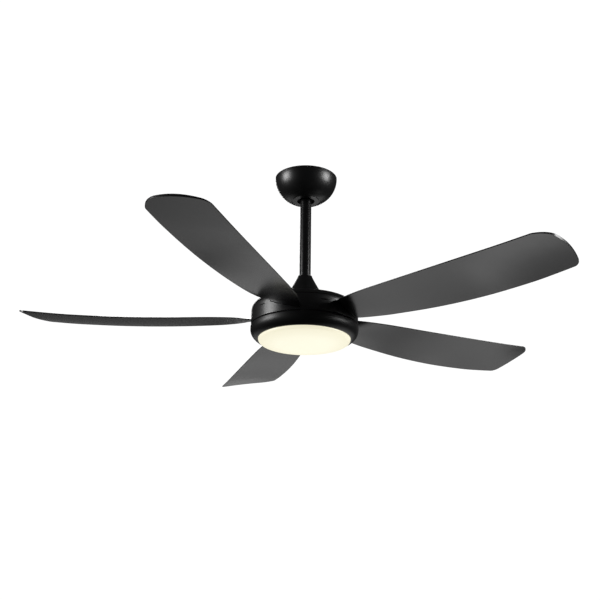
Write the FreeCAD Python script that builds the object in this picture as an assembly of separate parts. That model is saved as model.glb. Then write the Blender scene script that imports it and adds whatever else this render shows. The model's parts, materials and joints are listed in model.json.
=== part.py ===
"""Five-blade ceiling fan with a round LED light under the hub. Millimetres, +Z up.

The origin is on the ceiling, at the centre of the hanger bracket's top face, so everything hangs below z = 0.
The bracket screws to the ceiling box and holds a ball in a lined cup. The ball carries a downrod, and the
rod carries the motor by a coupler. The motor's fixed hollow shaft carries the light under it. The rotor bell,
the blade carrier, the blades, the housing shell and the top cap turn together about +Z. The lamp cover
unlocks with a short twist. Pieces of the hub are modelled at heights above the hub plane (names ending in
_H) and lowered when they are written. A blade's own frame has +X out along the blade and +Y towards its
trailing edge.
"""
import FreeCAD, Part
import math
import os

V = FreeCAD.Vector
ORIGIN = V(0, 0, 0)
X_AXIS = V(1, 0, 0)
Y_AXIS = V(0, 1, 0)
UP = V(0, 0, 1)

# Driving dimensions
SWEEP_R = 660.0
HUB_Z = -373.0
BLADES = 5
FIRST_BLADE_DEG = 176.6
HOUSING_R = 124.0
CANOPY_R = 74.5
ROD_R = 13.35
ROD_BORE_R = 11.3
REST_GAP = 0.3
HOLE_SLACK = 0.05

# Screws and pins. Each head is its radius and height
CANOPY_SCREW_R = 1.7
CANOPY_SCREW_HEAD = (3.2, 1.0)
PLATE_SCREW_R = 1.8
PLATE_SCREW_HEAD = (3.4, 1.8)
CAP_SCREW_HEAD = (3.6, 2.0)
BOARD_SCREW_R = 1.5
BOARD_SCREW_HEAD = (3.0, 1.5)
BLADE_SCREW_R = 2.4
BLADE_SCREW_HEAD = (4.4, 2.4)
SET_SCREW_R = 2.5
PIN_R = 3.0

# Hanger bracket and ball
BRACKET_LENGTH = 107.0
BRACKET_WIDTH = 30.0
BRACKET_STEEL = 2.5
CRADLE_Z = -40.0
BOX_SCREW_SPACING = 88.9
BOX_SLOT_LENGTH = 11.0
BOX_SLOT_R = 2.6
WIRE_OPENING = (36.0, 8.0)
SHELF_WIDTH = 40.0
BALL_Z = -29.0
BALL_R = 24.0
BALL_TOP = 14.0
BALL_FOOT = -18.0
BALL_FIT = 0.05
CRADLE_BOSS_R = 4.0
GROOVE_DEPTH = 3.0
GROOVE_HALF = 2.2
LINER_THICK = 1.7
CUP_FOOT = -16.0
CUP_TOP = -9.5
KEY_FOOT = -12.5
SIDE_ENTRY_HALF = 14.6
RECEIVER = (72.0, 25.0, 21.0)
RECEIVER_Y = 27.0

# Canopy
CEILING_GAP = 1.0
CANOPY_WALL = 1.5
CANOPY_ARC_Z = -1.5
CANOPY_ARC_R = 63.6
CANOPY_FLOOR_Z = -54.6
CANOPY_HOLE_R = 21.0
CANOPY_SCREW_X = 28.0
TRIM_GROOVE_R = 35.0
TRIM_FACE = [(34.2, -58.8), (32.6, -58.8), (32.0, -60.1), (21.0, -60.6)]
TRIM_INSIDE = [(22.2, -59.4), (30.8, -58.9), (31.4, -57.6), (35.4, -57.6), (36.2, -58.7)]

# Rod, coupler and coupling cover
ROD_TOP = BALL_Z + 10.0
BALL_PIN_Z = BALL_Z
BALL_SCREW_Z = ROD_TOP - 4.0
BALL_PIN_LENGTH = 38.0
ROD_END_H = 66.0
SHAFT_TOP_H = 64.0
COUPLER_R = 19.0
COUPLER_FOOT_H = 50.0
COUPLER_SHOULDER_H = 104.0
COUPLER_TOP_H = 109.3
COUPLER_NECK_R = 15.9
COUPLER_PIN_H = 84.0
COUPLER_PIN_HALF = 25.5
ROD_SCREW_H = COUPLER_PIN_H + 12.0
SHAFT_SCREW_H = COUPLER_FOOT_H + 7.0
CLIP_Y = 22.8
CLIP_R = 0.95
COVER_FOOT_H = 55.5
COVER_TOP_H = 117.5
COVER_BORE_R = 13.75
COVER_COLLAR_R = 16.9
COVER_COLLAR = 1.4
COVER_WAIST = (28.2, 94.0)
COVER_FOOT_R = 51.5
COVER_WALL = 1.7

# Leads
LEAD_R = 2.9
LEAD_ROD_X = 6.5
LEAD_SHAFT_X = 2.5
LEAD_TOP_Z = -13.0
LEAD_END_H = -24.5

# Motor
SHAFT_R = 10.0
SHAFT_BORE_R = 6.0
SHAFT_END_H = -22.0
BELL_R = 75.0
BELL_WALL = 4.0
BELL_TOP_H = 35.3
BELL_SHEET = 2.5
BELL_FLANGE_R = 96.0
MAGNET_THICK = 3.5
MAGNETS = 20
MAGNET_SPAN_DEG = 15.5
AIR_GAP = 1.0
POLES = 12
POLE_WIDTH = 7.0
STACK_FOOT_H = 7.0
STACK_TOP_H = 23.0
CORE_BORE_R = 24.0
CORE_RING_R = 33.0
SHOE_IN_R = 62.0
SHOE_WIDTH = 26.0
BOBBIN_WALL = 0.8
COIL_THICK = 3.2
COIL_SPAN = (37.0, 58.0)
BEARING_R = 21.0
BEARING_WIDTH = 12.0
BEARING_BALLS = 9
BEARING_BALL_R = 3.4
BEARING_PITCH_R = 15.5
RACE_WALL = 3.5
UPPER_BEARING_H = 26.0
LOWER_BEARING_H = -8.0
BOSS_R = 25.0
BOSS_LIP = 2.0

# Rotating housing
SHELL_WALL = 2.5
SHELL_FOOT_H = -6.4
SHELL_TOP_H = 32.8
SHELL_EYE_R = 84.0
SHELL_SCREW_R = 90.0
SHELL_SCREW_DEG = FIRST_BLADE_DEG + 180.0 / BLADES
VENT_WIDTH = 18.0
VENT_HEIGHT = 2.0
VENT_H = 20.0
VENT_DEG = -29.0
SHOULDER_H = 27.1
SHOULDER_R = 21.2
CAP_FOOT_H = 34.2
CAP_WALL = 2.0
CAP_EYE_R = 28.0
CAP_EYE_H = 56.5
CAP_SCREW_R = 62.0
CAP_SCREWS = 3
CAP_SCREW_DEG = 90.0
CAP_SEAT_H = 50.0
CAP_BOSS_R = 6.0
CAP_SEAT_R = 4.2
CARRIER_R = 117.0
CARRIER_FOOT_H = -6.0
CARRIER_TOP_H = -3.6

# Blades. Each station is: distance from the axis, half width from above, height of the middle, pitch in
# degrees, thickness, camber
BLADE_STATIONS = [
    (110.0, 34.5, 11.2, 17.0, 8.4, 0.0),
    (124.0, 37.0, 11.0, 16.4, 8.2, 0.0),
    (142.0, 44.0, 10.5, 13.6, 8.0, 0.5),
    (162.0, 51.0, 9.9, 11.6, 7.8, 1.0),
    (210.0, 60.3, 8.9, 10.6, 7.4, 2.5),
    (320.0, 70.6, 7.8, 10.9, 7.0, 4.0),
    (430.0, 75.9, 10.0, 11.1, 6.6, 4.8),
    (540.0, 76.7, 15.9, 10.9, 6.2, 5.0),
    (600.0, 75.5, 21.2, 10.6, 5.9, 5.0),
    (675.0, 72.8, 29.4, 10.2, 5.5, 5.0),
]
BLADE_SECTIONS = 26
BLADE_EDGE_R = 1.2
LEAD_CORNER_R = 58.0
LEAD_CORNER = (600.0, -19.4)
TRAIL_CORNER_R = 20.0
TRAIL_CORNER = (635.5, 54.0)
TIP_SIDE_CLEAR = 90.0
SLOT_CLEARANCE = 0.8
TONGUE = (82.0, 115.0)
TONGUE_HALF = 31.0
TONGUE_THICK = 6.6
TONGUE_H = 11.2
TONGUE_PITCH = 17.0
SEAT = (83.0, 109.0)
SEAT_HALF = 29.0
BLADE_SCREWS = [(90.0, -20.0), (90.0, 20.0), (106.0, 0.0)]
BLADE_SCREW_BITE = 4.5

# Light
PAN_R = 114.0
PAN_TOP_H = -14.0
PAN_THICK = 2.0
RING_R = 125.0
RING_TOP_H = -8.4
RING_ARC_H = -15.0
RING_ARC_R = 24.3
RING_WALL = 2.5
RING_FOOT_H = -37.5
RING_LIP_THICK = 2.2
RING_EYE_R = 106.8
RING_FLANGE_R = 104.0
RING_SCREW_R = 109.0
RING_SCREWS = 6
RING_CHAMFER = 2.6
BOARD_R = 92.0
BOARD_TOP_H = -28.0
BOARD_THICK = 1.6
SPACER_AT = 80.0
SPACERS = 3
SPACER_DEG = 90.0
LED = (3.5, 2.8, 0.8)
LED_RINGS = [(36.0, 12), (68.0, 24)]
DRIVER = (56.0, 36.0, 11.0)
DRIVER_X = 26.0
TERMINAL = (20.0, 14.0)
LAMP_R = 106.4
LAMP_NECK_R = 104.0
LAMP_WALL = 1.8
LAMP_TOP_H = -30.2
LAMP_SHOULDER_H = -34.4
LAMP_RIM_H = -37.4
LAMP_DROP = 17.6
LAMP_EDGE_R = 7.0
LUGS = 3
LUG_FOOT_H = -31.7
LUG_DEG = 14.0
TAB_TOP_H = -32.0
TAB_THICK = 2.0
TAB_OUT_R = 114.2
TAB_DEG = 18.0
STOP_DEG = 1.0
LUG_START_DEG = 30.0


# ---- Shared shapes ----

def tube(outer, inner, low, high):
    """A plain ring or sleeve about Z."""
    body = Part.makeCylinder(outer, high - low, V(0, 0, low))
    return body.cut(Part.makeCylinder(inner, high - low + 2, V(0, 0, low - 1)))


def post(radius, low, high, x=0.0, y=0.0):
    """A plain upright cylinder."""
    return Part.makeCylinder(radius, high - low, V(x, y, low))


def cross_rod(radius, length, x, z, axis):
    """A cylinder centred on (x, 0, z), lying along X or Y."""
    start = V(x, 0, z) - axis * (length / 2)
    return Part.makeCylinder(radius, length, start, axis)


def block(size_x, size_y, low, high, x=0.0, y=0.0):
    """An upright block centred on (x, y)."""
    return Part.makeBox(size_x, size_y, high - low, V(x - size_x / 2, y - size_y / 2, low))


def sector(outer, inner, low, high, centre_deg, width_deg):
    """A piece of a ring about Z."""
    wedge = Part.makeCylinder(outer, high - low, V(0, 0, low), UP, width_deg)
    wedge.rotate(ORIGIN, UP, centre_deg - width_deg / 2)
    return wedge.cut(post(inner, low - 1, high + 1))


def line(a, b):
    """A straight edge between two (radius, height) points."""
    return Part.makeLine(V(a[0], 0, a[1]), V(b[0], 0, b[1]))


def arc(a, via, b):
    """A round edge through three (radius, height) points."""
    return Part.Arc(V(a[0], 0, a[1]), V(via[0], 0, via[1]), V(b[0], 0, b[1])).toShape()


def on_circle(centre, radius, degrees):
    """A (radius, height) point on a circle in the outline's plane."""
    angle = math.radians(degrees)
    return centre[0] + radius * math.cos(angle), centre[1] + radius * math.sin(angle)


def circle_arc(centre, radius, first, last):
    """A round edge about a centre, between two angles in degrees."""
    points = [on_circle(centre, radius, degrees) for degrees in (first, (first + last) / 2, last)]
    return arc(*points)


def turned(edges):
    """A closed outline turned about Z."""
    return Part.Face(Part.Wire(edges)).revolve(ORIGIN, UP, 360)


def around(shape, count, first=0.0):
    """Copies of a shape, evenly spaced about Z."""
    copies = []
    for k in range(count):
        copy = shape.copy()
        copy.rotate(ORIGIN, UP, first + 360.0 * k / count)
        copies.append(copy)
    return copies


def cut_all(body, tools):
    """A body with every tool taken out of it."""
    for tool in tools:
        body = body.cut(tool)
    return body


def fuse_all(shapes):
    """Overlapping shapes joined into one."""
    body = shapes[0]
    for shape in shapes[1:]:
        body = body.fuse(shape)
    return body.removeSplitter()


def edges_along(body, direction):
    """The straight edges of a block that run in a direction."""
    return [edge for edge in body.Edges if edge.tangentAt(edge.FirstParameter).isParallel(direction, 0.01)]


def obround(length, radius, low, high, x=0.0):
    """An upright slot tool along X, rounded at both ends."""
    half = length / 2 - radius
    return fuse_all([
        block(2 * half, 2 * radius, low, high, x),
        post(radius, low, high, x - half),
        post(radius, low, high, x + half),
    ])


def screw(radius, length, seat, head, x, y, upward=True):
    """A cross-head screw along Z. The seat is under its head, and head is (radius, height)."""
    sign = 1 if upward else -1
    shank = Part.makeCylinder(radius, length, V(x, y, seat), UP * sign)
    cap = Part.makeCylinder(head[0], head[1], V(x, y, seat), UP * -sign)
    face = seat - sign * head[1]
    depth = head[1] * 0.6
    bit_long = head[0] * 1.2
    bit_wide = head[0] * 0.3
    bits = [block(bit_long, bit_wide, face - depth, face + depth, x, y),
            block(bit_wide, bit_long, face - depth, face + depth, x, y)]
    return cut_all(shank.fuse(cap), bits).removeSplitter()


def lowered(shape):
    """A hub piece moved to its place under the ceiling."""
    moved = shape.copy()
    moved.translate(V(0, 0, HUB_Z))
    return moved


# ---- Hanger bracket, ball and canopy ----

def ball_band(outer, inner, low, high):
    """A band of a hollow ball about the swivel centre, between two heights measured from it."""
    centre = V(0, 0, BALL_Z)
    shell = Part.makeSphere(outer, centre).cut(Part.makeSphere(inner, centre))
    return shell.common(post(outer + 1, BALL_Z + low, BALL_Z + high))


def side_entry():
    """The way in for the rod, on the -Y side of the cup."""
    return Part.makeBox(2 * SIDE_ENTRY_HALF, 60, 20, V(-SIDE_ENTRY_HALF, -60, CRADLE_Z - 12))


def ceiling_bracket():
    """Bent steel: a top plate, two arms, and a cradle with a cup, an anti-turn key and two canopy bosses."""
    half = BRACKET_LENGTH / 2
    steel = BRACKET_STEEL
    width = BRACKET_WIDTH
    top = block(BRACKET_LENGTH, width, -steel, 0)
    reach = RECEIVER_Y + RECEIVER[1] - 2
    shelf = block(SHELF_WIDTH, reach, -steel, 0, 0, reach / 2)
    top = top.fuse(shelf)
    for x in (-BOX_SCREW_SPACING / 2, BOX_SCREW_SPACING / 2):
        top = top.cut(obround(BOX_SLOT_LENGTH, BOX_SLOT_R, -steel - 1, 1, x))
    top = top.cut(obround(WIRE_OPENING[0], WIRE_OPENING[1], -steel - 1, 1))
    arms = [block(steel, width, CRADLE_Z, 0, sign * (half - steel / 2)) for sign in (-1, 1)]
    cup_r = BALL_R + LINER_THICK
    cradle = block(BRACKET_LENGTH, width, CRADLE_Z - steel, CRADLE_Z)
    cradle = cradle.cut(Part.makeSphere(cup_r, V(0, 0, BALL_Z)))
    cup = ball_band(cup_r + steel, cup_r, CUP_FOOT, CUP_TOP)
    body = fuse_all([top, *arms, cradle, cup]).cut(side_entry())
    key_zone = Part.makeBox(40, 2 * GROOVE_HALF - 0.6, 60, V(0, REST_GAP - GROOVE_HALF, BALL_Z - 30))
    key = ball_band(cup_r + 1, BALL_R - GROOVE_DEPTH + 0.5, KEY_FOOT, CUP_TOP).common(key_zone)
    body = body.fuse(key)
    for x in (-CANOPY_SCREW_X, CANOPY_SCREW_X):
        body = body.fuse(post(CRADLE_BOSS_R, CANOPY_FLOOR_Z + CANOPY_WALL, CRADLE_Z - steel, x))
        body = body.cut(post(CANOPY_SCREW_R + HOLE_SLACK, CANOPY_FLOOR_Z, CRADLE_Z + 1, x))
    return body.removeSplitter()


def ball_liner():
    """Nylon lining of the cup, open beside the key and at the rod's way in."""
    liner = ball_band(BALL_R + LINER_THICK, BALL_R + BALL_FIT, CUP_FOOT, CUP_TOP).cut(side_entry())
    return liner.cut(Part.makeBox(40, 2 * GROOVE_HALF, 60, V(0, -GROOVE_HALF, BALL_Z - 30)))


def receiver():
    """Box for the remote control, under the bracket's shelf."""
    long, deep, tall = RECEIVER
    body = Part.makeBox(long, deep, tall, V(-long / 2, RECEIVER_Y, -BRACKET_STEEL - tall))
    return body.makeFillet(3.0, edges_along(body, UP))


def bowl_degrees(radius, height):
    """The angle, about the canopy's arc centre, at which a bowl of this radius reaches a height."""
    return math.degrees(math.asin((height - CANOPY_ARC_Z) / radius))


def canopy():
    """A spun bowl, open at the top, with a flat floor, the rod's hole and two screw holes."""
    centre = (CANOPY_R - CANOPY_ARC_R, CANOPY_ARC_Z)
    inner = CANOPY_ARC_R - CANOPY_WALL
    floor_top = CANOPY_FLOOR_Z + CANOPY_WALL
    outer_end = bowl_degrees(CANOPY_ARC_R, CANOPY_FLOOR_Z)
    inner_end = bowl_degrees(inner, floor_top)
    body = turned([
        line((CANOPY_R, -CEILING_GAP), (CANOPY_R, CANOPY_ARC_Z)),
        circle_arc(centre, CANOPY_ARC_R, 0, outer_end),
        line(on_circle(centre, CANOPY_ARC_R, outer_end), (CANOPY_HOLE_R, CANOPY_FLOOR_Z)),
        line((CANOPY_HOLE_R, CANOPY_FLOOR_Z), (CANOPY_HOLE_R, floor_top)),
        line((CANOPY_HOLE_R, floor_top), on_circle(centre, inner, inner_end)),
        circle_arc(centre, inner, inner_end, 0),
        line((CANOPY_R - CANOPY_WALL, CANOPY_ARC_Z), (CANOPY_R - CANOPY_WALL, -CEILING_GAP)),
        line((CANOPY_R - CANOPY_WALL, -CEILING_GAP), (CANOPY_R, -CEILING_GAP)),
    ])
    hole_r = CANOPY_SCREW_R + HOLE_SLACK
    for x in (-CANOPY_SCREW_X, CANOPY_SCREW_X):
        body = body.cut(post(hole_r, CANOPY_FLOOR_Z - 2, floor_top + 2, x))
    return body


def canopy_trim():
    """A hollow ring that snaps under the canopy, carries its bowl down to a groove, and hides its screws."""
    centre = (CANOPY_R - CANOPY_ARC_R, CANOPY_ARC_Z)
    top = CANOPY_FLOOR_Z - REST_GAP
    first = bowl_degrees(CANOPY_ARC_R, top)
    last = -math.degrees(math.acos((TRIM_GROOVE_R - centre[0]) / CANOPY_ARC_R))
    outer_top = on_circle(centre, CANOPY_ARC_R, first)
    groove_edge = on_circle(centre, CANOPY_ARC_R, last)
    sheet = TRIM_INSIDE[0][0] - CANOPY_HOLE_R
    corners = [groove_edge, *TRIM_FACE, (CANOPY_HOLE_R, top), (CANOPY_HOLE_R + sheet, top), *TRIM_INSIDE,
               (outer_top[0] - 1.5 * sheet, top), outer_top]
    straight = [line(a, b) for a, b in zip(corners, corners[1:])]
    return turned([circle_arc(centre, CANOPY_ARC_R, first, last), *straight])


def canopy_screws():
    screws = []
    for x in (-CANOPY_SCREW_X, CANOPY_SCREW_X):
        screws.append(screw(CANOPY_SCREW_R, 12.0, CANOPY_FLOOR_Z, CANOPY_SCREW_HEAD, x, 0.0))
    return screws


def hanger_ball():
    """A ball cut flat at both ends and bored for the rod, with a groove for the key and two holes."""
    centre = V(0, 0, BALL_Z)
    ball = Part.makeSphere(BALL_R, centre).common(post(BALL_R + 1, BALL_Z + BALL_FOOT, BALL_Z + BALL_TOP))
    groove = ball_band(BALL_R + 1, BALL_R - GROOVE_DEPTH, -BALL_R, BALL_R)
    groove = groove.common(Part.makeBox(40, 2 * GROOVE_HALF, 60, V(0, -GROOVE_HALF, BALL_Z - 30)))
    return cut_all(ball, [
        groove,
        post(ROD_R + HOLE_SLACK, BALL_Z - 40, BALL_Z + 40),
        cross_rod(PIN_R + HOLE_SLACK, 60, 0, BALL_PIN_Z, Y_AXIS),
        cross_rod(SET_SCREW_R + HOLE_SLACK, 20, -ROD_R - 10, BALL_SCREW_Z, X_AXIS),
    ])


def ball_pin():
    return cross_rod(PIN_R, BALL_PIN_LENGTH, 0, BALL_PIN_Z, Y_AXIS)


def ball_set_screw():
    """A headless screw that bears on the rod."""
    length = 7.5
    body = cross_rod(SET_SCREW_R, length, -ROD_R - length / 2, BALL_SCREW_Z, X_AXIS)
    return body.cut(cross_rod(SET_SCREW_R / 2, 5, -ROD_R - length, BALL_SCREW_Z, X_AXIS))


# ---- Rod, leads, coupler and its cover ----

def downrod():
    rod = tube(ROD_R, ROD_BORE_R, HUB_Z + ROD_END_H, ROD_TOP)
    rod = rod.cut(cross_rod(PIN_R + HOLE_SLACK, 40, 0, BALL_PIN_Z, Y_AXIS))
    return rod.cut(cross_rod(PIN_R + HOLE_SLACK, 40, 0, HUB_Z + COUPLER_PIN_H, Y_AXIS))


def rounded_path(points):
    """Straight runs in the XZ plane, joined by tangent arcs as large as the shorter run allows."""
    edges = []
    start = points[0]
    for before, corner, after in zip(points, points[1:], points[2:]):
        run_in = corner - before
        run_out = after - corner
        reach = 0.45 * min(run_in.Length, run_out.Length)
        turn = run_in.getAngle(run_out)
        radius = reach / math.tan(turn / 2)
        run_in.normalize()
        run_out.normalize()
        first = corner - run_in * reach
        last = corner + run_out * reach
        inward = run_out - run_in
        inward.normalize()
        middle = corner + inward * (radius / math.cos(turn / 2) - radius)
        edges.append(Part.makeLine(start, first))
        edges.append(Part.Arc(first, middle, last).toShape())
        start = last
    edges.append(Part.makeLine(start, points[-1]))
    return Part.Wire(edges)


def lead_bundle():
    """The sleeved leads, held all the way: beside the pins in the rod, then down the shaft's bore."""
    path = rounded_path([
        V(LEAD_ROD_X, 0, LEAD_TOP_Z),
        V(LEAD_ROD_X, 0, HUB_Z + COUPLER_PIN_H - 4),
        V(LEAD_SHAFT_X, 0, HUB_Z + ROD_END_H),
        V(LEAD_SHAFT_X, 0, HUB_Z + LEAD_END_H),
    ])
    outline = Part.Wire([Part.makeCircle(LEAD_R, V(LEAD_ROD_X, 0, LEAD_TOP_Z), UP)])
    return path.makePipeShell([outline], True, True)


def lead_plug():
    body = block(12, 10, LEAD_TOP_Z, LEAD_TOP_Z + 7, LEAD_ROD_X)
    return body.cut(block(8, 6, LEAD_TOP_Z + 3, LEAD_TOP_Z + 8, LEAD_ROD_X))


def coupler():
    """The yoke: bored for the rod above and for the motor's shaft below."""
    hole_r = SET_SCREW_R + HOLE_SLACK
    return cut_all(fuse_all([
        post(COUPLER_R, COUPLER_FOOT_H, COUPLER_SHOULDER_H),
        post(COUPLER_NECK_R, COUPLER_SHOULDER_H, COUPLER_TOP_H),
    ]), [
        post(ROD_R + HOLE_SLACK, SHAFT_TOP_H, COUPLER_TOP_H + 1),
        post(SHAFT_R + HOLE_SLACK, COUPLER_FOOT_H - 1, SHAFT_TOP_H + 1),
        cross_rod(PIN_R + HOLE_SLACK, 60, 0, COUPLER_PIN_H, Y_AXIS),
        cross_rod(hole_r, 12, -ROD_R - 4, ROD_SCREW_H, X_AXIS),
        cross_rod(hole_r, 12, ROD_R + 4, ROD_SCREW_H, X_AXIS),
        cross_rod(hole_r, 16, COUPLER_R - 3, SHAFT_SCREW_H, X_AXIS),
    ])


def coupler_pin():
    """A headed pin with a cross hole for its clip."""
    pin = cross_rod(PIN_R, 2 * COUPLER_PIN_HALF, 0, COUPLER_PIN_H, Y_AXIS)
    head = Part.makeCylinder(5.0, 2.5, V(0, -COUPLER_PIN_HALF, COUPLER_PIN_H), Y_AXIS)
    hole = post(CLIP_R + HOLE_SLACK, COUPLER_PIN_H - 6, COUPLER_PIN_H + 6, 0, CLIP_Y)
    return pin.fuse(head).cut(hole).removeSplitter()


def pin_clip():
    """A cotter through the pin's end, with its round eye on top."""
    leg = post(CLIP_R, COUPLER_PIN_H - 6, COUPLER_PIN_H + 6, 0, CLIP_Y)
    eye = Part.makeTorus(2.4, 0.9, V(0, CLIP_Y, COUPLER_PIN_H + 8), X_AXIS)
    return leg.fuse(eye).removeSplitter()


def coupler_set_screws():
    screws = []
    for sign in (-1, 1):
        screws.append(cross_rod(SET_SCREW_R, 8, sign * (ROD_R + 4), ROD_SCREW_H, X_AXIS))
    screws.append(cross_rod(SET_SCREW_R, 8.5, SHAFT_R + 4.25, SHAFT_SCREW_H, X_AXIS))
    return screws


def coupling_cover():
    """A spun bell on the rod: a short collar and a gently curved flare down to the top cap."""
    wall = COVER_WALL
    collar_foot = COVER_TOP_H - COVER_COLLAR
    ledge = COUPLER_TOP_H + REST_GAP
    waist = COVER_WAIST
    neck = (COUPLER_NECK_R + 1.5, ledge)
    return turned([
        line((COVER_BORE_R, COVER_TOP_H), (COVER_COLLAR_R, COVER_TOP_H)),
        line((COVER_COLLAR_R, COVER_TOP_H), (COVER_COLLAR_R, collar_foot)),
        arc((COVER_COLLAR_R, collar_foot), waist, (COVER_FOOT_R, COVER_FOOT_H)),
        line((COVER_FOOT_R, COVER_FOOT_H), (COVER_FOOT_R - wall, COVER_FOOT_H)),
        arc((COVER_FOOT_R - wall, COVER_FOOT_H), (waist[0] - wall, waist[1] - 0.5 * wall), neck),
        line(neck, (COVER_BORE_R, ledge)),
        line((COVER_BORE_R, ledge), (COVER_BORE_R, COVER_TOP_H)),
    ])


# ---- Motor ----

def motor_shaft():
    """The fixed hollow shaft, with a groove for the retaining ring above the support pan."""
    shaft = tube(SHAFT_R, SHAFT_BORE_R, SHAFT_END_H, SHAFT_TOP_H)
    return shaft.cut(tube(SHAFT_R + 1, SHAFT_R - 0.8, PAN_TOP_H, PAN_TOP_H + 1.5))


def retaining_ring():
    """A spring ring in the shaft's groove, with a gap in it."""
    ring = tube(SHAFT_R + 3.2, SHAFT_R - 0.75, PAN_TOP_H, PAN_TOP_H + 1.4)
    return ring.cut(Part.makeBox(20, 5, 4, V(0, -2.5, PAN_TOP_H - 1)))


def shaft_nut():
    """A hexagon nut that clamps the support pan to the shaft."""
    corner_r = 16.5
    height = 5.0
    top = PAN_TOP_H - PAN_THICK
    corners = []
    for k in range(7):
        x, y = on_circle((0, 0), corner_r, 60 * k)
        corners.append(V(x, y, top - height))
    body = Part.Face(Part.makePolygon(corners)).extrude(V(0, 0, height))
    return body.cut(post(SHAFT_R + HOLE_SLACK, top - height - 1, top + 1))


def stator_hub():
    """The sleeve that carries the core and spaces the bearings' inner races."""
    low = LOWER_BEARING_H + BEARING_WIDTH
    bore = SHAFT_R + HOLE_SLACK
    wide = tube(CORE_BORE_R, bore, low + 1, UPPER_BEARING_H - 1)
    return fuse_all([wide, tube(SHAFT_R + RACE_WALL, bore, low, UPPER_BEARING_H)])


def pole_block(grow, radial, high_low):
    """A block along +X round one pole, larger than the pole by grow on each side."""
    low = STACK_FOOT_H - high_low
    high = STACK_TOP_H + high_low
    wide = POLE_WIDTH + 2 * grow
    return Part.makeBox(radial[1] - radial[0], wide, high - low, V(radial[0], -wide / 2, low))


def core_radius():
    return BELL_R - BELL_WALL - MAGNET_THICK - AIR_GAP


def stator_core():
    """The lamination stack: a ring, twelve poles, and a curved shoe on each."""
    pole = pole_block(0, (CORE_RING_R - 1, SHOE_IN_R + 1), 0)
    shoe = tube(core_radius(), SHOE_IN_R, STACK_FOOT_H, STACK_TOP_H)
    shoe = shoe.common(Part.makeBox(40, SHOE_WIDTH, 60, V(40, -SHOE_WIDTH / 2, -20)))
    arm = pole.fuse(shoe)
    return fuse_all([tube(CORE_RING_R, CORE_BORE_R, STACK_FOOT_H, STACK_TOP_H), *around(arm, POLES)])


def coil_bobbins():
    """A thin insulating sleeve round each pole."""
    sleeve = pole_block(BOBBIN_WALL, COIL_SPAN, BOBBIN_WALL)
    return around(sleeve.cut(pole_block(0, (COIL_SPAN[0] - 1, COIL_SPAN[1] + 1), 0)), POLES)


def coils():
    """A winding round each bobbin."""
    outer = BOBBIN_WALL + COIL_THICK
    winding = pole_block(outer, COIL_SPAN, outer)
    winding = winding.makeFillet(2.4, edges_along(winding, X_AXIS))
    hole = pole_block(BOBBIN_WALL, (COIL_SPAN[0] - 1, COIL_SPAN[1] + 1), BOBBIN_WALL)
    return around(winding.cut(hole), POLES)


def motor_board():
    """The ring board that joins the windings, against their lower ends."""
    top = STACK_FOOT_H - BOBBIN_WALL - COIL_THICK
    return tube(60.0, 30.0, top - BOARD_THICK, top)


def race_groove(foot):
    """The balls' track in a bearing, as a ring to cut away."""
    return Part.makeTorus(BEARING_PITCH_R, BEARING_BALL_R + HOLE_SLACK, V(0, 0, foot + BEARING_WIDTH / 2))


def bearing_inner_races():
    return [tube(SHAFT_R + RACE_WALL, SHAFT_R + HOLE_SLACK, foot, foot + BEARING_WIDTH).cut(race_groove(foot))
            for foot in (LOWER_BEARING_H, UPPER_BEARING_H)]


def bearing_outer_races():
    return [tube(BEARING_R, BEARING_R - RACE_WALL, foot, foot + BEARING_WIDTH).cut(race_groove(foot))
            for foot in (LOWER_BEARING_H, UPPER_BEARING_H)]


def bearing_balls():
    balls = []
    for foot in (LOWER_BEARING_H, UPPER_BEARING_H):
        ball = Part.makeSphere(BEARING_BALL_R, V(BEARING_PITCH_R, 0, foot + BEARING_WIDTH / 2))
        balls.extend(around(ball, BEARING_BALLS))
    return balls


def rotor_bell():
    """A steel bell: yoke wall, top plate with a flange for the shell, and the upper bearing's boss."""
    top = BELL_TOP_H
    boss_top = UPPER_BEARING_H + BEARING_WIDTH
    body = fuse_all([
        tube(BELL_R, BELL_R - BELL_WALL, CARRIER_TOP_H, top),
        tube(BELL_FLANGE_R, BEARING_R, top - BELL_SHEET, top),
        tube(BOSS_R, BEARING_R, UPPER_BEARING_H, boss_top),
        tube(BOSS_R, BEARING_R - BOSS_LIP, boss_top, boss_top + BOSS_LIP),
    ])
    shell_hole = post(PLATE_SCREW_R + HOLE_SLACK, top - 10, top + 1, SHELL_SCREW_R)
    cap_hole = post(PLATE_SCREW_R + HOLE_SLACK, top - 10, top + 1, CAP_SCREW_R)
    body = cut_all(body, around(shell_hole, BLADES, SHELL_SCREW_DEG))
    return cut_all(body, around(cap_hole, CAP_SCREWS, CAP_SCREW_DEG))


def magnets():
    outer = BELL_R - BELL_WALL
    magnet = sector(outer, outer - MAGNET_THICK, STACK_FOOT_H - 2, STACK_TOP_H + 2, 0, MAGNET_SPAN_DEG)
    return around(magnet, MAGNETS)


# ---- Rotating housing and blade carrier ----

def wall_slot_tool():
    """The blade's root, larger all round by the slot's clearance."""
    distances = (BLADE_STATIONS[0][0], HOUSING_R, BLADE_STATIONS[2][0])
    return Part.makeLoft([blade_section(x, SLOT_CLEARANCE) for x in distances], True, True)


def shoulder_degrees(radius, height):
    """The angle on the hub's round shoulder, about its arc centre, at which it reaches a height."""
    return math.degrees(math.asin((height - SHOULDER_H) / radius))


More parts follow.
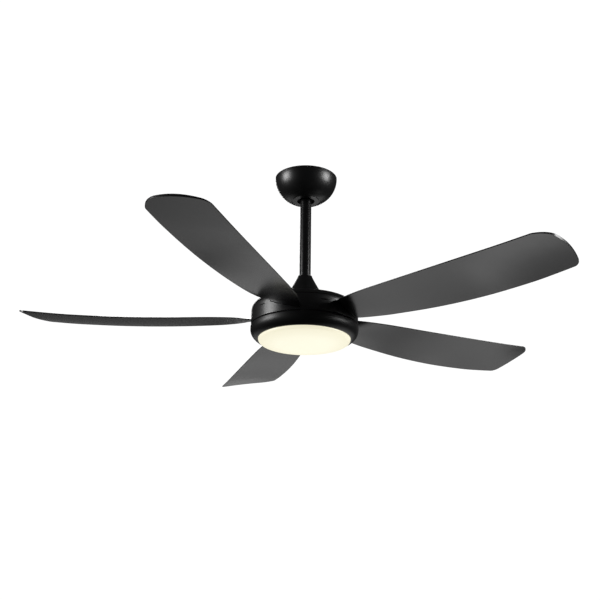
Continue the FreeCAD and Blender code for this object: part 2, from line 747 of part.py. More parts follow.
def housing_shell():
    """A drawn cup with an open foot, a pitched slot for each blade and a small vent beside each slot."""
    wall = SHELL_WALL
    centre = (HOUSING_R - SHOULDER_R, SHOULDER_H)
    top_end = shoulder_degrees(SHOULDER_R, SHELL_TOP_H)
    ceiling_h = SHELL_TOP_H - wall
    body = turned([
        line((HOUSING_R, SHELL_FOOT_H), (HOUSING_R, SHOULDER_H)),
        circle_arc(centre, SHOULDER_R, 0, top_end),
        line(on_circle(centre, SHOULDER_R, top_end), (SHELL_EYE_R, SHELL_TOP_H)),
        line((SHELL_EYE_R, SHELL_TOP_H), (SHELL_EYE_R, ceiling_h)),
        line((SHELL_EYE_R, ceiling_h), (HOUSING_R - wall, ceiling_h)),
        line((HOUSING_R - wall, ceiling_h), (HOUSING_R - wall, SHELL_FOOT_H)),
        line((HOUSING_R - wall, SHELL_FOOT_H), (HOUSING_R, SHELL_FOOT_H)),
    ])
    vent = block(20, VENT_WIDTH, VENT_H - VENT_HEIGHT / 2, VENT_H + VENT_HEIGHT / 2, HOUSING_R)
    screw_hole = post(PLATE_SCREW_R + HOLE_SLACK, SHELL_TOP_H - 6, SHELL_TOP_H + 1, SHELL_SCREW_R)
    tools = around(wall_slot_tool(), BLADES, FIRST_BLADE_DEG)
    tools += around(vent, BLADES, FIRST_BLADE_DEG + VENT_DEG)
    tools += around(screw_hole, BLADES, SHELL_SCREW_DEG)
    return cut_all(body, tools)


def shell_screws():
    length = BELL_SHEET + SHELL_WALL
    one = screw(PLATE_SCREW_R, length, BELL_TOP_H, PLATE_SCREW_HEAD, SHELL_SCREW_R, 0.0, upward=False)
    return around(one, BLADES, SHELL_SCREW_DEG)


def top_cap():
    """A shallow cover that continues the shell's round shoulder, with an eye for the coupler."""
    centre = (HOUSING_R - SHOULDER_R, SHOULDER_H)
    inner = SHOULDER_R - CAP_WALL
    outer_foot = shoulder_degrees(SHOULDER_R, CAP_FOOT_H)
    inner_foot = shoulder_degrees(inner, CAP_FOOT_H)
    body = turned([
        circle_arc(centre, SHOULDER_R, outer_foot, 90),
        line((centre[0], SHOULDER_H + SHOULDER_R), (CAP_EYE_R, CAP_EYE_H)),
        line((CAP_EYE_R, CAP_EYE_H), (CAP_EYE_R, CAP_EYE_H - CAP_WALL)),
        line((CAP_EYE_R, CAP_EYE_H - CAP_WALL), (centre[0], SHOULDER_H + inner)),
        circle_arc(centre, inner, 90, inner_foot),
        line(on_circle(centre, inner, inner_foot), on_circle(centre, SHOULDER_R, outer_foot)),
    ])
    above = CAP_EYE_H + 5
    boss = post(CAP_BOSS_R, BELL_TOP_H, CAP_SEAT_H + 0.9 * CAP_WALL, CAP_SCREW_R)
    hole = post(PLATE_SCREW_R + HOLE_SLACK, BELL_TOP_H - 1, above, CAP_SCREW_R)
    seat = post(CAP_SEAT_R, CAP_SEAT_H, above, CAP_SCREW_R)
    body = fuse_all([body, *around(boss, CAP_SCREWS, CAP_SCREW_DEG)])
    body = cut_all(body, around(hole, CAP_SCREWS, CAP_SCREW_DEG))
    return cut_all(body, around(seat, CAP_SCREWS, CAP_SCREW_DEG))


def cap_screws():
    length = CAP_SEAT_H - BELL_TOP_H + BELL_SHEET
    one = screw(PLATE_SCREW_R, length, CAP_SEAT_H, CAP_SCREW_HEAD, CAP_SCREW_R, 0.0, upward=False)
    return around(one, CAP_SCREWS, CAP_SCREW_DEG)


def pitched(shape):
    """A shape tilted to the blade tongue's pitch, leading side up, and raised to the tongue's height."""
    shape.rotate(ORIGIN, X_AXIS, -TONGUE_PITCH)
    shape.translate(V(0, 0, TONGUE_H))
    return shape


def blade_carrier():
    """A cast plate with the lower bearing's boss and a pitched seat for each blade's tongue."""
    bearing_top = LOWER_BEARING_H + BEARING_WIDTH
    above = pitched(Part.makeBox(90, 140, 80, V(60, -70, -TONGUE_THICK / 2)))
    seat_foot = CARRIER_TOP_H - 1
    seat_middle = (SEAT[0] + SEAT[1]) / 2
    seat = block(SEAT[1] - SEAT[0], 2 * SEAT_HALF, seat_foot, seat_foot + 40, seat_middle).cut(above)
    body = fuse_all([
        tube(CARRIER_R, BEARING_R, CARRIER_FOOT_H, CARRIER_TOP_H),
        tube(BOSS_R, BEARING_R, LOWER_BEARING_H, bearing_top),
        tube(BOSS_R, BEARING_R - BOSS_LIP, LOWER_BEARING_H - BOSS_LIP, LOWER_BEARING_H),
        *around(seat, BLADES, FIRST_BLADE_DEG),
    ])
    for x, y in BLADE_SCREWS:
        hole = post(BLADE_SCREW_R + HOLE_SLACK, CARRIER_FOOT_H - 1, 40, x, y)
        body = cut_all(body, around(hole, BLADES, FIRST_BLADE_DEG))
    return body


# ---- Blades ----

def bow(a, middle, b):
    """A gently bowed edge from a to b through a point half way, which may also lie in line with them."""
    curve = Part.BezierCurve()
    curve.setPoles([a, middle * 2 - (a + b) * 0.5, b])
    return curve.toShape()


def station_slopes(before, after):
    """How fast each value changes between two stations."""
    return [(b - a) / (after[0] - before[0]) for a, b in zip(before, after)]


def station_at(x):
    """The blade's values at any distance from the axis, run smoothly through the stations."""
    count = len(BLADE_STATIONS)
    k = 0
    while k < count - 2 and x > BLADE_STATIONS[k + 1][0]:
        k += 1
    a, b = BLADE_STATIONS[k], BLADE_STATIONS[k + 1]
    slope_a = station_slopes(BLADE_STATIONS[max(k - 1, 0)], b)
    slope_b = station_slopes(a, BLADE_STATIONS[min(k + 2, count - 1)])
    span = b[0] - a[0]
    t = (x - a[0]) / span
    from_a = 2 * t ** 3 - 3 * t ** 2 + 1
    lean_a = (t ** 3 - 2 * t ** 2 + t) * span
    lean_b = (t ** 3 - t ** 2) * span
    values = []
    for p, q, u, v in zip(a, b, slope_a, slope_b):
        values.append(from_a * p + (1 - from_a) * q + lean_a * u + lean_b * v)
    return values


def blade_section(x, grow=0.0):
    """The blade's outline at a distance x from the axis: two bowed faces and two round edges."""
    half, middle, pitch, thick, camber = station_at(x)[1:]
    edge_r = BLADE_EDGE_R + grow
    reach = half - BLADE_EDGE_R
    drop = reach * math.tan(math.radians(pitch))
    crown = thick / 2 + grow
    lead = V(x, -reach, middle + drop)
    trail = V(x, reach, middle - drop)
    top = V(x, 0, middle + camber + crown)
    foot = V(x, 0, middle + camber - crown)
    up = V(0, 0, edge_r)
    side = V(0, edge_r, 0)
    return Part.Wire([
        bow(lead + up, top, trail + up),
        Part.Arc(trail + up, trail + side, trail - up).toShape(),
        bow(trail - up, foot, lead - up),
        Part.Arc(lead - up, lead - side, lead + up).toShape(),
    ])


def plan_point(point, degrees=None, radius=0.0):
    """A point of the tip's outline from above, or one on a circle about it."""
    if degrees is None:
        return V(point[0], point[1], -60)
    angle = math.radians(degrees)
    return V(point[0] + radius * math.cos(angle), point[1] + radius * math.sin(angle), -60)


def tip_outline():
    """Everything inside the blade's rounded tip, seen from above, as an upright block."""
    lead_start = plan_point(LEAD_CORNER, -90, LEAD_CORNER_R)
    lead_end = plan_point(LEAD_CORNER, -20, LEAD_CORNER_R)
    trail_start = plan_point(TRAIL_CORNER, 8, TRAIL_CORNER_R)
    trail_end = plan_point(TRAIL_CORNER, 90, TRAIL_CORNER_R)
    far = 400.0
    root_lead = plan_point((60, -TIP_SIDE_CLEAR))
    root_trail = plan_point((60, TIP_SIDE_CLEAR))
    side_lead = plan_point((far, -TIP_SIDE_CLEAR))
    side_trail = plan_point((far, TIP_SIDE_CLEAR))
    edges = [
        Part.makeLine(root_lead, side_lead),
        Part.makeLine(side_lead, lead_start),
        Part.Arc(lead_start, plan_point(LEAD_CORNER, -55, LEAD_CORNER_R), lead_end).toShape(),
        Part.Arc(lead_end, plan_point((SWEEP_R, 12)), trail_start).toShape(),
        Part.Arc(trail_start, plan_point(TRAIL_CORNER, 49, TRAIL_CORNER_R), trail_end).toShape(),
        Part.makeLine(trail_end, side_trail),
        Part.makeLine(side_trail, root_trail),
        Part.makeLine(root_trail, root_lead),
    ]
    return Part.Face(Part.Wire(edges)).extrude(V(0, 0, 160))


def blade():
    """One moulded blade along +X, with the tongue that bolts to the carrier."""
    first = BLADE_STATIONS[0][0]
    step = (BLADE_STATIONS[-1][0] - first) / (BLADE_SECTIONS - 1)
    body = Part.makeLoft([blade_section(first + k * step) for k in range(BLADE_SECTIONS)], True, False)
    body = body.common(tip_outline())
    middle = (TONGUE[0] + TONGUE[1]) / 2
    tongue = block(TONGUE[1] - TONGUE[0], 2 * TONGUE_HALF, -TONGUE_THICK / 2, TONGUE_THICK / 2, middle)
    body = body.fuse(pitched(tongue)).removeSplitter()
    holes = []
    for x, y in BLADE_SCREWS:
        holes.append(post(BLADE_SCREW_R + HOLE_SLACK, -40, tongue_underside(y) + BLADE_SCREW_BITE, x, y))
    return cut_all(body, holes)


def tongue_underside(y):
    """Height of the tongue's lower face at a distance y across it."""
    pitch = math.radians(TONGUE_PITCH)
    return TONGUE_H - TONGUE_THICK / 2 / math.cos(pitch) - y * math.tan(pitch)


def blade_screws():
    screws = []
    for x, y in BLADE_SCREWS:
        length = tongue_underside(y) + BLADE_SCREW_BITE - CARRIER_FOOT_H
        one = screw(BLADE_SCREW_R, length, CARRIER_FOOT_H, BLADE_SCREW_HEAD, x, y)
        screws.extend(around(one, BLADES, FIRST_BLADE_DEG))
    return screws


# ---- Light ----

def support_pan():
    """The plate on the shaft's end that carries the ring and the light."""
    pan = tube(PAN_R, SHAFT_R + HOLE_SLACK, PAN_TOP_H - PAN_THICK, PAN_TOP_H)
    hole = post(PLATE_SCREW_R + HOLE_SLACK, PAN_TOP_H - 5, PAN_TOP_H + 1, RING_SCREW_R)
    return cut_all(pan, around(hole, RING_SCREWS, LUG_START_DEG))


def lower_ring():
    """The fixed ring: a round-bellied wall, a flange under the pan, a lip and the lamp's bayonet tabs."""
    centre = (RING_R - RING_ARC_R, RING_ARC_H)
    inner = RING_ARC_R - RING_WALL
    foot = RING_FOOT_H
    lip_top = foot + RING_LIP_THICK
    outer_end = math.degrees(math.asin((foot - RING_ARC_H) / RING_ARC_R))
    inner_end = math.degrees(math.asin((lip_top - RING_ARC_H) / inner))
    wall = turned([
        line((HOUSING_R, RING_TOP_H), (RING_R, RING_TOP_H - RING_CHAMFER)),
        line((RING_R, RING_TOP_H - RING_CHAMFER), (RING_R, RING_ARC_H)),
        circle_arc(centre, RING_ARC_R, 0, outer_end),
        line(on_circle(centre, RING_ARC_R, outer_end), (RING_EYE_R, foot)),
        line((RING_EYE_R, foot), (RING_EYE_R, lip_top)),
        line((RING_EYE_R, lip_top), on_circle(centre, inner, inner_end)),
        circle_arc(centre, inner, inner_end, 0),
        line((RING_R - RING_WALL, RING_ARC_H), (RING_R - RING_WALL, RING_TOP_H - RING_CHAMFER)),
        line((RING_R - RING_WALL, RING_TOP_H - RING_CHAMFER), (HOUSING_R - RING_WALL, RING_TOP_H)),
        line((HOUSING_R - RING_WALL, RING_TOP_H), (HOUSING_R, RING_TOP_H)),
    ])
    flange_top = PAN_TOP_H - PAN_THICK
    flange = tube(RING_R - RING_WALL + 0.2, RING_FLANGE_R, flange_top - RING_WALL, flange_top)
    tab_in = LAMP_NECK_R + 0.4
    tab = sector(TAB_OUT_R, tab_in, TAB_TOP_H - TAB_THICK, TAB_TOP_H, 0, TAB_DEG)
    stop = sector(LAMP_R, tab_in, TAB_TOP_H - 1, LAMP_TOP_H - 0.4, (STOP_DEG - TAB_DEG) / 2, STOP_DEG)
    body = fuse_all([wall, flange, *around(tab.fuse(stop), LUGS, LUG_START_DEG)])
    hole = post(PLATE_SCREW_R + HOLE_SLACK, flange_top - 5, flange_top + 1, RING_SCREW_R)
    return cut_all(body, around(hole, RING_SCREWS, LUG_START_DEG))


def ring_screws():
    seat = PAN_TOP_H - PAN_THICK - RING_WALL
    one = screw(PLATE_SCREW_R, 5.5, seat, PLATE_SCREW_HEAD, RING_SCREW_R, 0.0)
    return around(one, RING_SCREWS, LUG_START_DEG)


def led_board():
    board = post(BOARD_R, BOARD_TOP_H - BOARD_THICK, BOARD_TOP_H)
    hole = post(BOARD_SCREW_R + HOLE_SLACK, BOARD_TOP_H - 4, BOARD_TOP_H + 1, SPACER_AT)
    return cut_all(board, around(hole, SPACERS, SPACER_DEG))


def leds():
    """Two rings of surface-mounted emitters on the board's underside."""
    foot = BOARD_TOP_H - BOARD_THICK
    emitters = []
    for radius, count in LED_RINGS:
        emitters += around(block(LED[0], LED[1], foot - LED[2], foot, radius), count)
    return emitters


def board_spacers():
    spacer = post(3.5, BOARD_TOP_H, PAN_TOP_H - PAN_THICK, SPACER_AT)
    hole = post(BOARD_SCREW_R + HOLE_SLACK, BOARD_TOP_H - 1, BOARD_TOP_H + 9, SPACER_AT)
    return around(spacer.cut(hole), SPACERS, SPACER_DEG)


def board_screws():
    one = screw(BOARD_SCREW_R, 9.5, BOARD_TOP_H - BOARD_THICK, BOARD_SCREW_HEAD, SPACER_AT, 0.0)
    return around(one, SPACERS, SPACER_DEG)


def driver_box(side):
    """A sealed electronics box under the pan, to one side of the shaft."""
    top = PAN_TOP_H - PAN_THICK
    body = block(DRIVER[0], DRIVER[1], top - DRIVER[2], top, side * (DRIVER_X + DRIVER[0] / 2))
    return body.makeFillet(2.5, edges_along(body, UP))


def terminal_block():
    """The block on the LED board that the lead bundle plugs into."""
    top = SHAFT_END_H - REST_GAP
    body = block(TERMINAL[0], TERMINAL[1], BOARD_TOP_H, top)
    return body.cut(post(LEAD_R + 0.1, LEAD_END_H, top + 1, LEAD_SHAFT_X))


def jumper_leads():
    """Short leads from the terminal block to the two boxes."""
    height = BOARD_TOP_H + 2.0
    span = DRIVER_X - TERMINAL[0] / 2
    middle = TERMINAL[0] / 2 + span / 2
    return [cross_rod(1.2, span, sign * middle, height, X_AXIS) for sign in (-1, 1)]


def dome_edges(radius, drop, edge_r):
    """A flat dome below the lamp's rim: a small arc that leaves the rim upright, then a large one."""
    reach = radius - edge_r
    crown_r = (reach ** 2 + drop ** 2 - edge_r ** 2) / (2 * (drop - edge_r))
    crown_centre = (0, LAMP_RIM_H - drop + crown_r)
    turn = math.degrees(math.atan2(crown_r - drop, reach))
    return [
        circle_arc((reach, LAMP_RIM_H), edge_r, 0, -turn),
        circle_arc(crown_centre, crown_r, -turn, -90),
    ]


def lamp_cover():
    """The opal cover: a shallow dome, a short neck, and three bayonet lugs."""
    neck_in = LAMP_NECK_R - LAMP_WALL
    body = turned([
        line((neck_in, LAMP_TOP_H), (LAMP_NECK_R, LAMP_TOP_H)),
        line((LAMP_NECK_R, LAMP_TOP_H), (LAMP_NECK_R, LAMP_SHOULDER_H)),
        line((LAMP_NECK_R, LAMP_SHOULDER_H), (LAMP_R, LAMP_SHOULDER_H)),
        line((LAMP_R, LAMP_SHOULDER_H), (LAMP_R, LAMP_RIM_H)),
        *dome_edges(LAMP_R, LAMP_DROP, LAMP_EDGE_R),
        line((0, LAMP_RIM_H - LAMP_DROP), (0, LAMP_RIM_H - LAMP_DROP + LAMP_WALL)),
        *reversed(dome_edges(neck_in, LAMP_DROP - LAMP_WALL, LAMP_EDGE_R - LAMP_WALL)),
        line((neck_in, LAMP_RIM_H), (neck_in, LAMP_TOP_H)),
    ])
    lug = sector(LAMP_R - 0.1, LAMP_NECK_R - 0.5, LUG_FOOT_H, LAMP_TOP_H, 0, LUG_DEG)
    return fuse_all([body, *around(lug, LUGS, LUG_START_DEG)])


# ---- Writing ----

CEILING_PIECES = {
    "ceiling_bracket": ceiling_bracket,
    "ball_liner": ball_liner,
    "receiver": receiver,
    "canopy": canopy,
    "canopy_trim": canopy_trim,
    "canopy_screws": canopy_screws,
    "hanger_ball": hanger_ball,
    "ball_pin": ball_pin,
    "ball_set_screw": ball_set_screw,
    "downrod": downrod,
    "lead_bundle": lead_bundle,
    "lead_plug": lead_plug,
}
HUB_PIECES = {
    "coupler": coupler,
    "coupler_pin": coupler_pin,
    "pin_clip": pin_clip,
    "coupler_set_screws": coupler_set_screws,
    "coupling_cover": coupling_cover,
    "motor_shaft": motor_shaft,
    "retaining_ring": retaining_ring,
    "shaft_nut": shaft_nut,
    "stator_hub": stator_hub,
    "stator_core": stator_core,
    "coil_bobbins": coil_bobbins,
    "coils": coils,
    "motor_board": motor_board,
    "bearing_inner_races": bearing_inner_races,
    "bearing_outer_races": bearing_outer_races,
    "bearing_balls": bearing_balls,
    "rotor_bell": rotor_bell,
    "magnets": magnets,
    "housing_shell": housing_shell,
    "shell_screws": shell_screws,
    "top_cap": top_cap,
    "cap_screws": cap_screws,
    "blade_carrier": blade_carrier,
    "blade_screws": blade_screws,
    "support_pan": support_pan,
    "lower_ring": lower_ring,
    "ring_screws": ring_screws,
    "led_board": led_board,
    "leds": leds,
    "board_spacers": board_spacers,
    "board_screws": board_screws,
    "led_driver": lambda: driver_box(-1),
    "motor_controller": lambda: driver_box(1),
    "terminal_block": terminal_block,
    "jumper_leads": jumper_leads,
    "lamp_cover": lamp_cover,
}


def write(name, shape):
    """Export one node, and say how many solids it has."""
    if isinstance(shape, list):
        shape = Part.makeCompound(shape)
    shape.exportStep(f"parts/{name}.step")
    print(f"{name:22s} solids {len(shape.Solids):3d}  valid {shape.isValid()}  {shape.Volume:12.3f} mm3")


def main():
    os.makedirs("parts", exist_ok=True)
    for name, make in CEILING_PIECES.items():
        write(name, make())
    for name, make in HUB_PIECES.items():
        made = make()
        write(name, [lowered(one) for one in made] if isinstance(made, list) else lowered(made))
    for k, shape in enumerate(around(lowered(blade()), BLADES, FIRST_BLADE_DEG)):
        write(f"blade_{k + 1}", shape)


main()
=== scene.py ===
"""The look of a black five-blade ceiling fan with a round light. Metres, +Z up, origin on the ceiling."""
import json
import math

import bpy
from mathutils import Matrix, Vector


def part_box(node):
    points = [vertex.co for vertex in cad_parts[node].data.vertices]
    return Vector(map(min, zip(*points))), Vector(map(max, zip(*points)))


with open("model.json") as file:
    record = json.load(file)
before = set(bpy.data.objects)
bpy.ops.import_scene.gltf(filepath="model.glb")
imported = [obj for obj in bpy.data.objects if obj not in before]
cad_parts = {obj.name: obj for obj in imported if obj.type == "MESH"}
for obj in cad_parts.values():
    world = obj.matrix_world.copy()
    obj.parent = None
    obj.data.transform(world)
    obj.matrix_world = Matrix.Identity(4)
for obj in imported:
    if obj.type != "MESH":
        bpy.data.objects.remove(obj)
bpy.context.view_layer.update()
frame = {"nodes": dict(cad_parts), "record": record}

# ---- Places, from the frame ----
HUB_ABOVE_RING = 0.0084
HUB_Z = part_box("lower_ring")[1].z + HUB_ABOVE_RING
LAMP_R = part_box("lamp_cover")[1].x
FLOOR_Z = -2.60
BACKDROP_R = 12.0
BACKDROP_RINGS = 12
BACKDROP_SIDES = 32
BACKDROP_GLOW = 1.05
AMBIENT = 0.03

# ---- The view: the camera stands low and looks up at the hub ----
CAMERA_BACK = 2.3122
CAMERA_BELOW_HUB = 0.7778
CAMERA_TILT_DEG = 19.903
CAMERA_YAW_DEG = -0.275
CAMERA_ROLL_DEG = 0.74
CAMERA_LENS_MM = 63.25


def make_camera():
    """A long lens, low in front of the fan and tilted up."""
    data = bpy.data.cameras.new("camera")
    data.sensor_width = 36.0
    data.lens = CAMERA_LENS_MM
    data.clip_start = 0.05
    data.clip_end = 60.0
    camera = bpy.data.objects.new("camera", data)
    bpy.context.scene.collection.objects.link(camera)
    yaw = math.radians(CAMERA_YAW_DEG)
    tilt = math.radians(CAMERA_TILT_DEG)
    forward = Vector((math.sin(yaw) * math.cos(tilt), math.cos(yaw) * math.cos(tilt), math.sin(tilt)))
    right = Vector((math.cos(yaw), -math.sin(yaw), 0.0))
    up = right.cross(forward)
    roll = math.radians(CAMERA_ROLL_DEG)
    image_right = right * math.cos(roll) + up * math.sin(roll)
    image_up = up * math.cos(roll) - right * math.sin(roll)
    axes = Matrix((image_right, image_up, -forward)).transposed()
    camera.matrix_world = Matrix.Translation((0.0, -CAMERA_BACK, HUB_Z - CAMERA_BELOW_HUB)) @ axes.to_4x4()
    bpy.context.scene.camera = camera


# ---- Studio ----

# Soft rectangular lights, all aimed at the hub: name, place with its height measured from the hub, size, and
# how bright the face is. The blades' undersides mirror the panels behind the fan.
LIGHTS = [
    ("softbox_left", (-2.6, -0.6, 0.4), (1.15, 1.1), 15.0),
    ("softbox_right", (2.6, -0.6, 0.4), (1.15, 1.1), 15.0),
    ("rim", (-0.3, 3.0, 1.4), (1.6, 0.9), 4.0),
    ("low_left", (-1.6, 3.0, -2.1), (1.6, 2.2), 0.42),
    ("low_middle", (0.0, 3.0, -2.1), (1.5, 2.2), 0.9),
    ("low_right", (1.6, 3.0, -2.1), (1.6, 2.2), 0.66),
    ("deep", (1.2, 1.2, -1.7), (1.6, 1.2), 0.7),
    ("middle_left", (-1.2, 3.6, -0.65), (1.4, 0.8), 0.6),
    ("middle", (0.1, 3.6, -0.65), (1.1, 0.8), 0.45),
    ("high_left", (-1.0, 3.6, 0.25), (1.8, 0.7), 0.04),
    ("high_middle", (0.0, 3.6, 0.2), (0.7, 0.7), 0.35),
]

def area_light(name, place, size, radiance):
    """A soft rectangular light that the camera doesn't see, aimed at the hub."""
    hub = Vector((0.0, 0.0, HUB_Z))
    spot = hub + Vector(place)
    data = bpy.data.lights.new(name, "AREA")
    data.shape = "RECTANGLE"
    data.size, data.size_y = size
    data.energy = radiance * math.pi * size[0] * size[1]
    light = bpy.data.objects.new(name, data)
    bpy.context.scene.collection.objects.link(light)
    light.location = spot
    light.rotation_mode = "QUATERNION"
    light.rotation_quaternion = (hub - spot).to_track_quat("-Z", "Y")
    light.visible_camera = False


def plain_material(name, colour, emission):
    """A dull surface with a faint glow of its own."""
    material = bpy.data.materials.new(name)
    material.use_nodes = True
    shader = material.node_tree.nodes["Principled BSDF"]
    shader.inputs["Base Color"].default_value = (*colour, 1.0)
    shader.inputs["Roughness"].default_value = 0.9
    shader.inputs["Emission Color"].default_value = (*colour, 1.0)
    shader.inputs["Emission Strength"].default_value = emission
    return material


def make_floor():
    """A pale floor that only the camera sees, so that it doesn't tint the fan's underside."""
    half = BACKDROP_R
    corners = [(-half, -half, FLOOR_Z), (half, -half, FLOOR_Z), (half, half, FLOOR_Z), (-half, half, FLOOR_Z)]
    mesh = bpy.data.meshes.new("floor")
    mesh.from_pydata(corners, [], [(0, 1, 2, 3)])
    mesh.materials.append(plain_material("floor_pale", (0.8, 0.8, 0.79), 0.95))
    floor = bpy.data.objects.new("floor", mesh)
    bpy.context.scene.collection.objects.link(floor)
    floor.visible_diffuse = False
    floor.visible_glossy = False


def glow_material():
    """Even white light, for the backdrop."""
    material = bpy.data.materials.new("backdrop_white")
    material.use_nodes = True
    tree = material.node_tree
    tree.nodes.clear()
    glow = tree.nodes.new("ShaderNodeEmission")
    glow.inputs["Strength"].default_value = BACKDROP_GLOW
    out = tree.nodes.new("ShaderNodeOutputMaterial")
    tree.links.new(glow.outputs[0], out.inputs[0])
    return material


def make_backdrop():
    """A white ball round the scene that only the camera sees."""
    sides = BACKDROP_SIDES
    points = []
    for i in range(BACKDROP_RINGS + 1):
        angle = math.pi * (i / BACKDROP_RINGS - 0.5)
        across = BACKDROP_R * math.cos(angle)
        for k in range(sides):
            turn = 2 * math.pi * k / sides
            points.append((across * math.cos(turn), across * math.sin(turn), BACKDROP_R * math.sin(angle)))
    faces = []
    for i in range(BACKDROP_RINGS):
        for k in range(sides):
            after = (k + 1) % sides
            faces.append((i * sides + k, i * sides + after, (i + 1) * sides + after, (i + 1) * sides + k))
    mesh = bpy.data.meshes.new("backdrop")
    mesh.from_pydata(points, [], faces)
    mesh.materials.append(glow_material())
    backdrop = bpy.data.objects.new("backdrop", mesh)
    bpy.context.scene.collection.objects.link(backdrop)
    backdrop.visible_diffuse = False
    backdrop.visible_glossy = False
    backdrop.visible_transmission = False
    backdrop.visible_volume_scatter = False
    backdrop.visible_shadow = False


def make_studio():
    """Floor, backdrop, lights and a little ambient light."""
    make_floor()
    make_backdrop()
    for light in LIGHTS:
        area_light(*light)
    world = bpy.data.worlds.new("studio")
    world.use_nodes = True
    background = world.node_tree.nodes["Background"]
    background.inputs["Color"].default_value = (1.0, 1.0, 1.0, 1.0)
    background.inputs["Strength"].default_value = AMBIENT
    bpy.context.scene.world = world
    bpy.context.scene.view_settings.view_transform = "Standard"


# ---- Materials ----

BLACK_PAINT = (0.005, 0.005, 0.0052)

class Build:
    """A material under construction, with short names for the nodes it needs."""

    def __init__(self, name):
        self.material = bpy.data.materials.new(name)
        self.material.use_nodes = True
        self.tree = self.material.node_tree
        self.shader = self.tree.nodes["Principled BSDF"]
        self.place = self.node("ShaderNodeTexCoord").outputs["Object"]

    def node(self, kind, **settings):
        made = self.tree.nodes.new(kind)
        for key, value in settings.items():
            setattr(made, key, value)
        return made

    def link(self, source, target):
        self.tree.links.new(source, target)

    def set(self, **values):
        for key, value in values.items():
            self.shader.inputs[key.replace("_", " ")].default_value = value

    def stretched(self, x, y, z):
        mapping = self.node("ShaderNodeMapping")
        mapping.inputs["Scale"].default_value = (x, y, z)
        self.link(self.place, mapping.inputs["Vector"])
        return mapping.outputs["Vector"]

    def noise(self, scale, detail=3.0, roughness=0.55, vector=None):
        made = self.node("ShaderNodeTexNoise")
        made.inputs["Scale"].default_value = scale
        made.inputs["Detail"].default_value = detail
        made.inputs["Roughness"].default_value = roughness
        self.link(vector or self.place, made.inputs["Vector"])
        return made.outputs["Fac"]

    def remap(self, value, low, high, from_low=0.3, from_high=0.7):
        made = self.node("ShaderNodeMapRange")
        made.inputs["From Min"].default_value = from_low
        made.inputs["From Max"].default_value = from_high
        made.inputs["To Min"].default_value = low
        made.inputs["To Max"].default_value = high
        self.link(value, made.inputs["Value"])
        return made.outputs["Result"]

    def math(self, operation, a, b=None):
        """One arithmetic step on numbers or sockets."""
        made = self.node("ShaderNodeMath", operation=operation)
        for socket, value in zip(made.inputs, (a, b)):
            if value is None:
                continue
            if isinstance(value, (int, float)):
                socket.default_value = value
            else:
                self.link(value, socket)
        return made.outputs[0]

    def mix(self, amount, first, second):
        made = self.node("ShaderNodeMix", data_type="RGBA")
        self.link(amount, made.inputs[0])
        for socket, value in ((made.inputs[6], first), (made.inputs[7], second)):
            if isinstance(value, tuple):
                socket.default_value = (*value, 1.0)
            else:
                self.link(value, socket)
        return made.outputs[2]

    def bump(self, height, distance, strength=1.0, after=None):
        made = self.node("ShaderNodeBump")
        made.inputs["Distance"].default_value = distance
        made.inputs["Strength"].default_value = strength
        self.link(height, made.inputs["Height"])
        if after:
            self.link(after, made.inputs["Normal"])
        return made.outputs["Normal"]

    def from_axis(self, split):
        """Distance from the fan's axis, given separated coordinates."""
        x, y = split.outputs["X"], split.outputs["Y"]
        return self.math("SQRT", self.math("ADD", self.math("MULTIPLY", x, x), self.math("MULTIPLY", y, y)))

    def edge(self, radius):
        """1 on flat stretches, less within a radius of a hard edge."""
        bevel = self.node("ShaderNodeBevel", samples=4)
        bevel.inputs["Radius"].default_value = radius
        geometry = self.node("ShaderNodeNewGeometry")
        dot = self.node("ShaderNodeVectorMath", operation="DOT_PRODUCT")
        self.link(bevel.outputs["Normal"], dot.inputs[0])
        self.link(geometry.outputs["Normal"], dot.inputs[1])
        return dot.outputs["Value"]


def satin_black(name, tone, rough, wear=0.0006, gloss=0.5):
    """Baked satin paint: faint orange peel, uneven gloss, edges rubbed a little lighter."""
    b = Build(name)
    cloud = b.noise(14.0, 2.0)
    colour = b.mix(b.remap(cloud, 0.0, 1.0), tuple(0.85 * c for c in tone), tuple(1.2 * c for c in tone))
    rubbed = b.remap(b.edge(wear), 1.0, 0.0, 0.55, 0.9)
    rubbed = b.math("MULTIPLY", rubbed, b.remap(b.noise(120.0), 0.15, 0.7))
    b.link(b.mix(rubbed, colour, tuple(2.5 * c + 0.006 for c in tone)), b.shader.inputs["Base Color"])
    dust = b.noise(260.0, 4.0)
    b.link(b.remap(dust, rough - 0.02, rough + 0.02), b.shader.inputs["Roughness"])
    b.link(b.bump(b.noise(260.0, 1.0), 0.000002), b.shader.inputs["Normal"])
    b.set(IOR=1.5, Specular_IOR_Level=gloss)
    return b.material


def moulded_black():
    """Satin moulded plastic: fine texture, faint flow marks, and duller, slightly lighter edges."""
    b = Build("blade_plastic")
    flow = b.noise(9.0, 3.0)
    colour = b.mix(b.remap(flow, 0.0, 1.0), BLACK_PAINT, (0.007, 0.007, 0.0072))
    edge = b.math("MULTIPLY", b.remap(b.edge(0.0008), 1.0, 0.0, 0.55, 0.9), b.remap(b.noise(90.0), 0.2, 0.6))
    b.link(b.mix(edge, colour, (0.02, 0.02, 0.02)), b.shader.inputs["Base Color"])
    sheen = b.remap(b.noise(420.0, 3.0), 0.185, 0.215)
    duller = b.remap(b.edge(0.003), 0.35, 0.0, 0.4, 0.95)
    b.link(b.math("ADD", sheen, duller), b.shader.inputs["Roughness"])
    grain = b.bump(b.noise(900.0, 2.0), 0.0000015)
    b.link(b.bump(flow, 0.0003, 0.35, grain), b.shader.inputs["Normal"])
    return b.material


